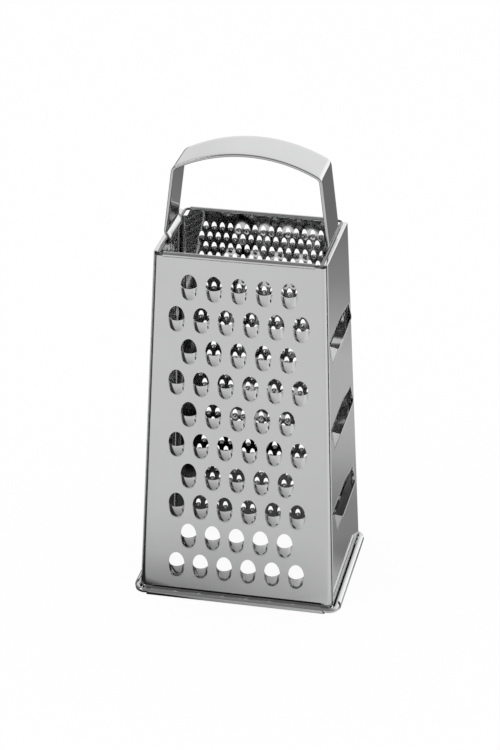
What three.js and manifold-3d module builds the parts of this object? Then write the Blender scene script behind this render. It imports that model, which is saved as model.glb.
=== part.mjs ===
// Four-sided box grater: bent and hemmed sheet panels on two wire rings, with a fixed strap handle.
// Millimetres, +Z up. The origin is on the table under the middle of the body, and the front faces -Y.
import * as THREE from 'three';
import { mergeGeometries, mergeVertices } from 'three/addons/utils/BufferGeometryUtils.js';
import Module from 'manifold-3d';

// Body: outer faces of the sheets, at the table and at the rim
const BODY_HEIGHT = 191;
const BASE_WIDTH = 103.6;
const BASE_DEPTH = 79.6;
const RIM_WIDTH = 88;
const RIM_DEPTH = 58;
const SHEET = 0.5;

// Fits
const LAP_GAP = 0.3;
const WIRE_GAP = 0.25;
const HOOK_GAP = 0.25;

// Upright corners: the front and back sheets bend round and lap behind the side sheets
const CORNER_BEND = 2.4;
const LAP_LENGTH = 2.2;

// Base ring and the hems rolled outwards around it
const BASE_WIRE_RADIUS = 1.3;
const BASE_RING_CORNER = 4.2;
const BASE_HEM_SWEEP = 300;
const BASE_HEM_SETBACK = 0.9;
const BASE_HEM_END_SLANT = 2.4;

// Top ring, the hems rolled outwards over it, and the folded rims of the side sheets
const TOP_WIRE_RADIUS = 0.65;
const TOP_RING_CORNER = 2;
const TOP_RING_DROP = 0.2;
const TOP_HEM_SWEEP = 280;
const TOP_HEM_SETBACK = 0.4;
const TOP_NOTCH_DROP = 1.6;
const SIDE_FOLD_LENGTH = 2;
const HEM_ROOT = 2.5;
const HEM_ROOT_INSET = 0.06;

// Coarse teeth
const COARSE_WIDTH = 8.4;
const COARSE_OPENING = 6.4;
const COARSE_LIP = 7.3;
const COARSE_RAISE = 3.2;
const COARSE_DIP = 0.6;
const COARSE_PITCH = 12.72;
const COARSE_ROW_PITCH = 17.26;
const COARSE_TOP_MARGIN = 16.8;
const COARSE_BASE_MARGIN = 11;
const COARSE_EDGE_MARGIN = 3;

// Fine teeth, whose columns spread from the rim to the base
const FINE_WIDTH = 2.8;
const FINE_OPENING = 3.2;
const FINE_RIM_PITCH = 4.29;
const FINE_BASE_PITCH = 5.15;
const FINE_ROW_PITCH = 5.89;
const FINE_TOP_MARGIN = 5.9;
const FINE_BASE_MARGIN = 9.5;
const FINE_EDGE_MARGIN = 8;

// Zester prickles, one for each group of punched points
const PRICKLE_WIDTH = 2.4;
const PRICKLE_RAISE = 1;
const PRICKLE_PITCH = 5.6;
const PRICKLE_ROW_PITCH = 8.6;
const PRICKLE_TOP_MARGIN = 10;
const PRICKLE_BASE_MARGIN = 11;
const PRICKLE_EDGE_MARGIN = 5;

// Slicing slots. The lip stands up steeply at the front end and rises gently from the back end.
const SLOT_PITCH = 47.8;
const SLOT_TOP_MARGIN = 43.6;
const SLOT_BASE_MARGIN = 20;
const SLOT_EDGE_MARGIN = 2.3;
const SLOT_GAP = 1.4;
const SLOT_LIP = 13.6;
const SLOT_LIP_TAPER = 4.5;
const SLOT_RAISE = 4.4;
const SLOT_FRONT_LENGTH = 1.5;
const SLOT_BACK_LENGTH = 17;

// Strap handle, to its outer faces
const HANDLE_RISE = 49;
const STRAP_WIDTH = 26.5;
const STRAP_THICKNESS = 1.6;
const ARCH_RADIUS = 77;
const CORNER_RADIUS = 3;
const LEG_SPREAD = 4.25;
const FOOT_INSET = 1.85;
const FOOT_STEP_RISE = 4.5;
const FOOT_STEP_FALL = 0.8;
const FOOT_BEND = 1.2;
const HOOK_SWEEP = 95;

// Facets
const RING_SIDES = 8;
const RING_CORNER_STEPS = 4;
const BEND_STEPS = 3;
const HEM_STEP = 30;
const TOOTH_STEPS = 5;
const PRICKLE_SIDES = 3;
const ARCH_STEPS = 9;
const HOOK_STEPS = 6;
const TINY = 1e-6;

const wasm = await Module();
wasm.setup();

const DEGREE = THREE.MathUtils.DEG2RAD;
const halfWidth = (z) => THREE.MathUtils.lerp(BASE_WIDTH, RIM_WIDTH, z / BODY_HEIGHT) / 2;
const halfDepth = (z) => THREE.MathUtils.lerp(BASE_DEPTH, RIM_DEPTH, z / BODY_HEIGHT) / 2;
const leanOf = (reach) => Math.atan2(reach(0) - reach(BODY_HEIGHT), BODY_HEIGHT);

// Places that more than one piece depends on
const baseHemInner = BASE_WIRE_RADIUS + WIRE_GAP;
const baseHemOuter = baseHemInner + SHEET;
const baseRingHeight = baseHemOuter;
const topHemInner = TOP_WIRE_RADIUS + WIRE_GAP;
const topRingHeight = BODY_HEIGHT - TOP_RING_DROP;
const foldInner = LAP_GAP + SHEET / 2;
const foldOuter = foldInner + SHEET;
const baseRingReach = (reach) => reach(baseRingHeight) + baseHemInner / Math.cos(leanOf(reach));
const topRingHalfDepth = halfDepth(topRingHeight) + topHemInner / Math.cos(leanOf(halfDepth));
const topRingHalfWidth = halfWidth(topRingHeight) - 2 * foldOuter - LAP_GAP - TOP_WIRE_RADIUS;
const topHemHalfLength = topRingHalfWidth - TOP_RING_CORNER - TOP_HEM_SETBACK;
const lapFace = (z) => halfWidth(z) - SHEET - LAP_GAP;
const sideHalfSpan = (z) => halfDepth(z) - CORNER_BEND;
const frontFlatHalf = (z) => lapFace(z) - CORNER_BEND;

// A closed triangle mesh with its faces turned outwards.
function closedMesh(points, triangles) {
  let volume = 0;
  for (const [a, b, c] of triangles) {
    volume += points[a].dot(points[b].clone().cross(points[c]));
  }
  const outward = volume > 0 ? triangles : triangles.map(([a, b, c]) => [a, c, b]);
  const geometry = new THREE.BufferGeometry().setFromPoints(points);
  geometry.setIndex(outward.flat());
  return geometry;
}

// Skin over matching outlines. The ends are flat caps cut to capShape, or joined up without one.
function skin(outlines, capShape) {
  const count = outlines[0].length;
  const triangles = [];
  const spans = capShape ? outlines.length - 1 : outlines.length;
  for (let k = 0; k < spans; k += 1) {
    const here = k * count;
    const next = ((k + 1) % outlines.length) * count;
    for (let i = 0; i < count; i += 1) {
      const j = (i + 1) % count;
      triangles.push([here + i, here + j, next + j], [here + i, next + j, next + i]);
    }
  }
  if (capShape) {
    const last = (outlines.length - 1) * count;
    for (const [a, b, c] of THREE.ShapeUtils.triangulateShape(capShape, [])) {
      triangles.push([a, c, b], [last + a, last + b, last + c]);
    }
  }
  return closedMesh(outlines.flat(), triangles);
}

// A closed geometry as a solid that can be joined and cut.
function toSolid(geometry) {
  const bare = geometry.clone();
  bare.deleteAttribute('normal');
  bare.deleteAttribute('uv');
  const merged = mergeVertices(bare);
  return new wasm.Manifold(new wasm.Mesh({
    numProp: 3,
    vertProperties: new Float32Array(merged.attributes.position.array),
    triVerts: Uint32Array.from(merged.index.array),
  }));
}

function toGeometry(solid) {
  const mesh = solid.getMesh();
  const geometry = new THREE.BufferGeometry();
  geometry.setAttribute('position', new THREE.BufferAttribute(mesh.vertProperties, 3));
  geometry.setIndex(new THREE.BufferAttribute(mesh.triVerts, 1));
  return geometry;
}

// Outlines run anticlockwise, as the caps need.
function anticlockwise(outline) {
  return THREE.ShapeUtils.isClockWise(outline) ? outline.slice().reverse() : outline;
}

// Every panel is made facing the front and then turned about Z. Its own frame has u along the panel, v up its
// outer face from the table, and w out of that face.
function panelFrame(reach) {
  const lean = leanOf(reach);
  return new THREE.Matrix4().makeBasis(
    new THREE.Vector3(1, 0, 0),
    new THREE.Vector3(0, Math.sin(lean), Math.cos(lean)),
    new THREE.Vector3(0, -Math.cos(lean), Math.sin(lean)),
  ).setPosition(0, -reach(0), 0);
}

const slantLength = (reach) => BODY_HEIGHT / Math.cos(leanOf(reach));

// Copies of one feature at places [u, v] of a panel, as one solid.
function patternSolid(feature, places, reach) {
  const copies = places.map(([u, v]) => feature.clone().translate(u, v, 0));
  return toSolid(mergeGeometries(copies).applyMatrix4(panelFrame(reach)));
}

// A cutter through the sheet with the given outline in u and v, running one sheet past both faces.
function punch(outline) {
  const shape = new THREE.Shape(outline);
  const cutter = new THREE.ExtrudeGeometry(shape, { depth: 3 * SHEET, bevelEnabled: false });
  return cutter.translate(0, 0, -2 * SHEET);
}

// A raised lip of sheet between its foot on the panel and its free cutting edge, point by point.
// The foot is sunk into the middle of the sheet, so that the lip grows out of the edge of its hole.
function lipShell(foot, edge) {
  const sunk = SHEET / 4;
  const outerFoot = foot.map((p) => new THREE.Vector3(p.x, p.y, -sunk));
  const innerFoot = foot.map((p) => new THREE.Vector3(p.x, p.y, sunk - SHEET));
  const outerEdge = edge.map((p, i) => (p.z > TINY ? p.clone() : outerFoot[i].clone()));
  const innerEdge = edge.map((p, i) => (p.z > TINY ? p.clone().setZ(p.z - SHEET) : innerFoot[i].clone()));
  const rails = [outerFoot, outerEdge, innerEdge, innerFoot];
  const points = rails.flat();
  const count = foot.length;
  const triangles = [];
  for (let rail = 0; rail < rails.length; rail += 1) {
    const here = rail * count;
    const next = ((rail + 1) % rails.length) * count;
    for (let i = 0; i + 1 < count; i += 1) {
      triangles.push([here + i, here + i + 1, next + i + 1], [here + i, next + i + 1, next + i]);
    }
  }
  const hasArea = ([a, b, c]) => {
    const side = points[b].clone().sub(points[a]);
    return side.cross(points[c].clone().sub(points[a])).length() > TINY;
  };
  return closedMesh(points, triangles.filter(hasArea));
}

// Staggered rows of places, each half a pitch out of step with the next. With shrink, the first row and
// every second one after it hold one place fewer. Without it, all rows hold as many, and every second row
// is moved half a pitch to the right.
function staggered({ pitchAt, rowPitch, top, bottom, across, shrink }) {
  const places = [];
  const rows = Math.floor((top - bottom) / rowPitch) + 1;
  for (let row = 0; row < rows; row += 1) {
    const v = top - row * rowPitch;
    const even = row % 2 === 0;
    const count = shrink && even ? across - 1 : across;
    const shift = shrink || even ? 0 : 1 / 2;
    for (let k = 0; k < count; k += 1) {
      places.push([(k - (count - 1) / 2 + shift) * pitchAt(v), v]);
    }
  }
  return places;
}

const fitAcross = (span, margin, width, pitch) => Math.floor((span - 2 * margin - width) / pitch) + 1;

// Outline of a sheet's edge rolled about a wire: along a root in the sheet, round the roll and along a tail.
// Coordinates are outward and up from the wire. Angles are in degrees, anticlockwise from outward.
function rollOutline({ inner, start, sweep, tail }) {
  const outer = inner + SHEET;
  const end = start + sweep;
  const facet = HEM_STEP / 2;
  const angles = [];
  for (let k = Math.ceil((start - facet) / HEM_STEP); k * HEM_STEP + facet < end; k += 1) {
    angles.push(k * HEM_STEP + facet);
  }
  const polar = (radius, angle) => new THREE.Vector2(
    radius * Math.cos(angle * DEGREE),
    radius * Math.sin(angle * DEGREE),
  );
  const onFacets = (radius) => radius / Math.cos(facet * DEGREE);
  const along = (angle, distance) => polar(distance, angle + 90);
  const side = (radius, rootRadius) => [
    polar(rootRadius, start).add(along(start, -HEM_ROOT)),
    polar(radius, start),
    ...angles.map((angle) => polar(onFacets(radius), angle)),
    polar(radius, end),
    ...(tail > 0 ? [polar(radius, end).add(along(end, tail))] : []),
  ];
  const innerSide = side(inner, inner + HEM_ROOT_INSET);
  const outerSide = side(outer, outer - HEM_ROOT_INSET);
  return anticlockwise([...innerSide, ...outerSide.reverse()]);
}

// A rolled or folded hem along a panel facing the front. Its ends slant in towards the top.
function hem({ outline, reach, height, halfLength, slant }) {
  const levels = outline.map((p) => p.y);
  const lowest = Math.min(...levels);
  const highest = Math.max(...levels);
  const endAt = (p) => halfLength - slant * (p.y - lowest) / (highest - lowest);
  const place = (p, side) => new THREE.Vector3(side * endAt(p), -(reach + p.x), height + p.y);
  return skin([outline.map((p) => place(p, 1)), outline.map((p) => place(p, -1))], outline);
}

// Cutters for the upper corners of the front and back sheets. Through the notches the top wire passes from
// outside these sheets to inside the side ones.
function cornerNotches() {
  const start = topHemHalfLength + TOP_HEM_SETBACK / 2;
  const cutters = [1, -1].map((side) => {
    const cutter = new THREE.BoxGeometry(RIM_WIDTH, RIM_DEPTH, BODY_HEIGHT);
    return cutter.translate(
      side * (start + RIM_WIDTH / 2),
      -halfDepth(BODY_HEIGHT),
      BODY_HEIGHT - TOP_NOTCH_DROP + BODY_HEIGHT / 2,
    );
  });
  return mergeGeometries(cutters);
}

// Front and back sheets: a flat face, two bends and two laps, carried straight from the base to the rim.
function bentSheet() {
  const section = (z) => {
    const face = lapFace(z);
    const depth = halfDepth(z);
    const corner = (inset) => {
      const points = [new THREE.Vector2(face - inset, CORNER_BEND - depth + LAP_LENGTH)];
      for (let k = 0; k <= BEND_STEPS; k += 1) {
        const angle = (k / BEND_STEPS) * Math.PI / 2;
        const radius = CORNER_BEND - inset;
        points.push(new THREE.Vector2(
          face - CORNER_BEND + radius * Math.cos(angle),
          CORNER_BEND - depth - radius * Math.sin(angle),
        ));
      }
      return points;
    };
    const mirrored = (points) => points.map((p) => new THREE.Vector2(-p.x, p.y)).reverse();
    const outer = [...corner(0), ...mirrored(corner(0))];
    const inner = [...corner(SHEET), ...mirrored(corner(SHEET))];
    return anticlockwise([...outer, ...inner.reverse()]);
  };
  const raise = (z) => section(z).map((p) => new THREE.Vector3(p.x, p.y, z));
  const whole = skin([raise(baseRingHeight), raise(topRingHeight)], section(baseRingHeight));
  return toSolid(whole).subtract(toSolid(cornerNotches()));
}

// Side sheets: flat, between the two seams.
function flatSheet() {
  const top = BODY_HEIGHT - foldOuter;
  const section = (z) => {
    const span = sideHalfSpan(z);
    const face = -halfWidth(z);
    return [
      new THREE.Vector2(-span, face),
      new THREE.Vector2(span, face),
      new THREE.Vector2(span, face + SHEET),
      new THREE.Vector2(-span, face + SHEET),
    ];
  };
  const raise = (z) => section(z).map((p) => new THREE.Vector3(p.x, p.y, z));
  return skin([raise(baseRingHeight), raise(top)], section(baseRingHeight));
}

// Bottom hem of any panel, rolled outwards, under the wire and over it.
function baseHem(reach, halfSpan) {
  const lean = leanOf(reach) / DEGREE;
  return hem({
    outline: rollOutline({ inner: baseHemInner, start: 180 + lean, sweep: BASE_HEM_SWEEP - lean, tail: 0 }),
    reach: baseRingReach(reach),
    height: baseRingHeight,
    halfLength: halfSpan - BASE_HEM_SETBACK,
    slant: BASE_HEM_END_SLANT,
  });
}

// Rim of the front and back panels: the upside-down outline of a hem, rolled outwards over the top wire.
function rolledRim() {
  const lean = leanOf(halfDepth) / DEGREE;
  const hanging = rollOutline({ inner: topHemInner, start: 180 - lean, sweep: TOP_HEM_SWEEP, tail: 0 });
  return hem({
    outline: anticlockwise(hanging.map((p) => new THREE.Vector2(p.x, -p.y))),
    reach: topRingHalfDepth,
    height: topRingHeight,
    halfLength: topHemHalfLength,
    slant: 0,
  });
}

// Rim of the side panels, folded inwards over the tops of the laps.
function foldedRim() {
  const lean = leanOf(halfWidth) / DEGREE;
  const height = BODY_HEIGHT - foldOuter;
  return hem({
    outline: rollOutline({ inner: foldInner, start: lean, sweep: 180, tail: SIDE_FOLD_LENGTH }),
    reach: halfWidth(height) - foldOuter / Math.cos(leanOf(halfWidth)),
    height,
    halfLength: sideHalfSpan(BODY_HEIGHT),
    slant: 0,
  });
}

// Half an ellipse from its right end to its left end, over the top for a positive height.
function halfEllipse(halfSpan, height) {
  return Array.from({ length: TOOTH_STEPS + 1 }, (_, k) => {
    const angle = (k / TOOTH_STEPS) * Math.PI;
    return new THREE.Vector2(halfSpan * Math.cos(angle), height * Math.sin(angle));
  });
}

function shredderPanel() {
  const half = COARSE_WIDTH / 2;
  const bite = SHEET / 2;
  const opening = halfEllipse(half, COARSE_OPENING);
  const lower = halfEllipse(half, -COARSE_LIP);
  const hole = punch([...opening, ...lower.slice(1, -1).reverse()]);
  const foot = halfEllipse(half + bite, -COARSE_LIP - bite);
  const edge = foot.map((p) => {
    const rise = Math.sqrt(Math.max(0, 1 - (p.x / (half + bite)) ** 2));
    return new THREE.Vector3(p.x, -COARSE_DIP * rise, COARSE_RAISE * rise);
  });
  const places = staggered({
    pitchAt: () => COARSE_PITCH,
    rowPitch: COARSE_ROW_PITCH,
    top: slantLength(halfDepth) - COARSE_TOP_MARGIN,
    bottom: COARSE_LIP + COARSE_BASE_MARGIN,
    across: fitAcross(2 * frontFlatHalf(BODY_HEIGHT), COARSE_EDGE_MARGIN, COARSE_WIDTH, COARSE_PITCH),
    shrink: true,
  });
  return bentSheet()
    .subtract(patternSolid(hole, places, halfDepth))
    .add(patternSolid(lipShell(foot, edge), places, halfDepth))
    .add(toSolid(baseHem(halfDepth, frontFlatHalf(baseRingHeight))))
    .add(toSolid(rolledRim()));
}

function finePanel() {
  const half = FINE_WIDTH / 2;
  const length = slantLength(halfDepth);
  const hole = punch([
    new THREE.Vector2(-half, -FINE_OPENING),
    new THREE.Vector2(half, -FINE_OPENING),
    new THREE.Vector2(0, 0),
  ]);
  const places = staggered({
    pitchAt: (v) => THREE.MathUtils.lerp(FINE_BASE_PITCH, FINE_RIM_PITCH, v / length),
    rowPitch: FINE_ROW_PITCH,
    top: length - FINE_TOP_MARGIN,
    bottom: FINE_OPENING + FINE_BASE_MARGIN,
    across: fitAcross(2 * frontFlatHalf(BODY_HEIGHT), FINE_EDGE_MARGIN, FINE_WIDTH, FINE_RIM_PITCH),
    shrink: false,
  });
  return bentSheet()
    .subtract(patternSolid(hole, places, halfDepth))
    .add(toSolid(baseHem(halfDepth, frontFlatHalf(baseRingHeight))))
    .add(toSolid(rolledRim()));
}

function zesterPanel() {
  const prickle = new THREE.ConeGeometry(PRICKLE_WIDTH / 2, PRICKLE_RAISE + SHEET / 2, PRICKLE_SIDES);
  prickle.rotateX(Math.PI / 2);
  prickle.translate(0, 0, (PRICKLE_RAISE - SHEET / 2) / 2);
  const places = staggered({
    pitchAt: () => PRICKLE_PITCH,
    rowPitch: PRICKLE_ROW_PITCH,
    top: slantLength(halfWidth) - PRICKLE_TOP_MARGIN,
    bottom: PRICKLE_BASE_MARGIN,
    across: fitAcross(2 * sideHalfSpan(BODY_HEIGHT), PRICKLE_EDGE_MARGIN, PRICKLE_WIDTH, PRICKLE_PITCH),
    shrink: false,
  });
  return toSolid(flatSheet())
    .add(patternSolid(prickle, places, halfWidth))
    .add(toSolid(baseHem(halfWidth, sideHalfSpan(baseRingHeight))))
    .add(toSolid(foldedRim()));
}

function slicerPanel() {
  const top = slantLength(halfWidth) - SLOT_TOP_MARGIN;
  const half = sideHalfSpan(top) - SLOT_EDGE_MARGIN;
  const heel = half - SLOT_LIP_TAPER;
  const slot = punch([
    new THREE.Vector2(half, 0),
    new THREE.Vector2(half, SLOT_GAP),
    new THREE.Vector2(-half, SLOT_GAP),
    new THREE.Vector2(-half, 0),
    new THREE.Vector2(-heel, -SLOT_LIP),
    new THREE.Vector2(heel, -SLOT_LIP),
  ]);
  const bite = SHEET / 2;
  const foot = [
    new THREE.Vector2(half + bite, 0),
    new THREE.Vector2(heel + bite, -SLOT_LIP - bite),
    new THREE.Vector2(-heel - bite, -SLOT_LIP - bite),
    new THREE.Vector2(-half - bite, 0),
  ];
  const edge = [
    new THREE.Vector3(half + bite, 0, 0),
    new THREE.Vector3(half - SLOT_BACK_LENGTH, 0, SLOT_RAISE),
    new THREE.Vector3(SLOT_FRONT_LENGTH - half, 0, SLOT_RAISE),
    new THREE.Vector3(-half - bite, 0, 0),
  ];
  const count = Math.floor((top - SLOT_LIP - SLOT_BASE_MARGIN) / SLOT_PITCH) + 1;
  const places = Array.from({ length: count }, (_, k) => [0, top - k * SLOT_PITCH]);
  return toSolid(flatSheet())
    .subtract(patternSolid(slot, places, halfWidth))
    .add(patternSolid(lipShell(foot, edge), places, halfWidth))
    .add(toSolid(baseHem(halfWidth, sideHalfSpan(baseRingHeight))))
    .add(toSolid(foldedRim()));
}

// A level ring of round wire with rounded corners.
function wireRing({ halfX, halfY, corner, wireRadius, height }) {
  const outlines = [];
  const quarters = [[1, 1], [-1, 1], [-1, -1], [1, -1]];
  quarters.forEach(([sideX, sideY], quarter) => {
    for (let k = 0; k <= RING_CORNER_STEPS; k += 1) {
      const heading = (quarter + k / RING_CORNER_STEPS) * Math.PI / 2;
      const centre = new THREE.Vector2(sideX * (halfX - corner), sideY * (halfY - corner));
      const outline = Array.from({ length: RING_SIDES }, (_, i) => {
        const around = ((i + 0.5) / RING_SIDES) * 2 * Math.PI;
        const reach = corner + wireRadius * Math.cos(around);
        return new THREE.Vector3(
          centre.x + reach * Math.cos(heading),
          centre.y + reach * Math.sin(heading),
          height + wireRadius * Math.sin(around),
        );
      });
      outlines.push(outline);
    }
  });
  return skin(outlines, null);
}

// A path with each inner corner replaced by an arc that leaves and meets the straight runs smoothly.
function roundedPath(corners) {
  const path = new THREE.Path();
  path.moveTo(corners[0].x, corners[0].y);
  for (let k = 1; k + 1 < corners.length; k += 1) {
    const here = corners[k];
    const before = new THREE.Vector2(corners[k - 1].x - here.x, corners[k - 1].y - here.y).normalize();
    const after = new THREE.Vector2(corners[k + 1].x - here.x, corners[k + 1].y - here.y).normalize();
    const halfAngle = Math.acos(THREE.MathUtils.clamp(before.dot(after), -1, 1)) / 2;
    const tangent = here.radius / Math.tan(halfAngle);
    const bisector = before.clone().add(after).normalize();
    const centre = bisector.multiplyScalar(here.radius / Math.sin(halfAngle)).add(here);
    const from = before.multiplyScalar(tangent).add(here);
    const to = after.multiplyScalar(tangent).add(here);
    const start = Math.atan2(from.y - centre.y, from.x - centre.x);
    const end = Math.atan2(to.y - centre.y, to.x - centre.x);
    const turn = from.clone().sub(centre).cross(to.clone().sub(centre));
    path.absarc(centre.x, centre.y, here.radius, start, end, turn < 0);
  }
  const last = corners[corners.length - 1];
  path.lineTo(last.x, last.y);
  return path.getPoints(BEND_STEPS);
}

// The strap's middle line on the right, from the top of the arch down to the end of the hook, in X and Z.
function strapLine() {
  const half = STRAP_THICKNESS / 2;
  const footMiddle = RIM_WIDTH / 2 - FOOT_INSET - half;
  const archCentre = BODY_HEIGHT + HANDLE_RISE - ARCH_RADIUS;
  const archMiddle = ARCH_RADIUS - half;
  const archEnd = Math.asin((footMiddle - LEG_SPREAD) / archMiddle);
  const onArch = (angle) => new THREE.Vector2(
    archMiddle * Math.sin(angle),
    archCentre + archMiddle * Math.cos(angle),
  );
  const hookRadius = TOP_WIRE_RADIUS + HOOK_GAP + half;
  const hookSide = topRingHalfWidth - hookRadius;
  const bend = (point, inside) => Object.assign(point, { radius: inside + half });
  const arch = Array.from({ length: ARCH_STEPS }, (_, k) => onArch((k / ARCH_STEPS) * archEnd));
  const leg = roundedPath([
    arch[ARCH_STEPS - 1],
    bend(onArch(archEnd), CORNER_RADIUS),
    bend(new THREE.Vector2(footMiddle, topRingHeight + FOOT_STEP_RISE), FOOT_BEND),
    bend(new THREE.Vector2(hookSide, topRingHeight + FOOT_STEP_FALL), FOOT_BEND),
    new THREE.Vector2(hookSide, topRingHeight),
  ]);
  const hook = Array.from({ length: HOOK_STEPS }, (_, k) => {
    const angle = (180 + HOOK_SWEEP * ((k + 1) / HOOK_STEPS)) * DEGREE;
    return new THREE.Vector2(
      topRingHalfWidth + hookRadius * Math.cos(angle),
      topRingHeight + hookRadius * Math.sin(angle),
    );
  });
  return [...arch.slice(0, -1), ...leg, ...hook];
}

// The strap is its middle line thickened to both sides and carried across its width.
function strapHandle() {
  const right = strapLine();
  const left = right.slice(1).reverse().map((p) => new THREE.Vector2(-p.x, p.y));
  const line = [...left, ...right];
  const offset = (side) => line.map((p, k) => {
    const before = line[Math.max(k - 1, 0)];
    const after = line[Math.min(k + 1, line.length - 1)];
    const back = p.clone().sub(before).normalize();
    const ahead = after.clone().sub(p).normalize();
    const heading = back.clone().add(ahead).normalize();
    const mitre = Math.max(heading.dot(back), heading.dot(ahead));
    const reach = (side * STRAP_THICKNESS) / 2 / mitre;
    return new THREE.Vector2(p.x - heading.y * reach, p.y + heading.x * reach);
  });
  const outline = anticlockwise([...offset(1), ...offset(-1).reverse()]);
  const across = (y) => outline.map((p) => new THREE.Vector3(p.x, y, p.y));
  return skin([across(STRAP_WIDTH / 2), across(-STRAP_WIDTH / 2)], outline);
}

// Finishes
const brushed = { color: 0xc4c5c6, roughness: 0.32, metalness: 1 };
const polished = { color: 0xd2d3d4, roughness: 0.2, metalness: 1 };
const bright = { color: 0xbfc0c1, roughness: 0.16, metalness: 1 };

const grater = new THREE.Group();

function addPiece(name, geometry, finish, turn = 0) {
  const mesh = new THREE.Mesh(geometry, new THREE.MeshStandardMaterial(finish));
  mesh.name = name;
  mesh.rotation.z = turn * DEGREE;
  grater.add(mesh);
}

addPiece('front_shredder_panel', toGeometry(shredderPanel()), brushed);
addPiece('right_slicer_panel', toGeometry(slicerPanel()), brushed, 90);
addPiece('back_fine_panel', toGeometry(finePanel()), brushed, 180);
addPiece('left_zester_panel', toGeometry(zesterPanel()), brushed, 270);
addPiece('base_wire_ring', wireRing({
  halfX: baseRingReach(halfWidth),
  halfY: baseRingReach(halfDepth),
  corner: BASE_RING_CORNER,
  wireRadius: BASE_WIRE_RADIUS,
  height: baseRingHeight,
}), bright);
addPiece('top_wire_ring', wireRing({
  halfX: topRingHalfWidth,
  halfY: topRingHalfDepth,
  corner: TOP_RING_CORNER,
  wireRadius: TOP_WIRE_RADIUS,
  height: topRingHeight,
}), bright);
addPiece('strap_handle', strapHandle(), polished);

export default grater;
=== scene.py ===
"""Dressed model of a four-sided box grater: punched sheet panels, two wire rings and a strap handle.

The classes hold their sizes in millimetres. Meshes are written in metres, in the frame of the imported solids:
+Z up, the coarse face towards -Y and the slicing face towards +X.
"""

import logging
import math
from dataclasses import dataclass, replace
from enum import Enum
from functools import cache
from typing import Any, Sequence

import bpy
import numpy as np
from mathutils import Matrix


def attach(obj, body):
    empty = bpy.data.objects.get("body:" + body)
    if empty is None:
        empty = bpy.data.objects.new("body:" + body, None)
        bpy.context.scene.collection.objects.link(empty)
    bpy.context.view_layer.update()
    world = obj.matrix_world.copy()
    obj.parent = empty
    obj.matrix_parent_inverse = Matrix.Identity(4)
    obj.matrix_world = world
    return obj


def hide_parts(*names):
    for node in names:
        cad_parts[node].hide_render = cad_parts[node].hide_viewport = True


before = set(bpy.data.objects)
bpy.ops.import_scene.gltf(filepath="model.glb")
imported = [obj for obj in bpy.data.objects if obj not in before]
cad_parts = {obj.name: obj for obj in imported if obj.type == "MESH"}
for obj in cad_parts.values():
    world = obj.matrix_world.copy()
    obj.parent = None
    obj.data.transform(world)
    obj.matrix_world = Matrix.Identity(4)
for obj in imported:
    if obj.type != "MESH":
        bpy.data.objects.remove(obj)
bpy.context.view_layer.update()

LOG = logging.getLogger("grater")
MM = 0.001
WELD = 1e-4
WELD_SHIFT = 0.3718
SHARP_ANGLE = math.radians(38)
GRAIN_DETAIL = 2.0
CLOUD_DETAIL = 3.0
Array = np.ndarray
Triple = tuple[float, float, float]
Stops = Sequence[tuple[float, float]]


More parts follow.
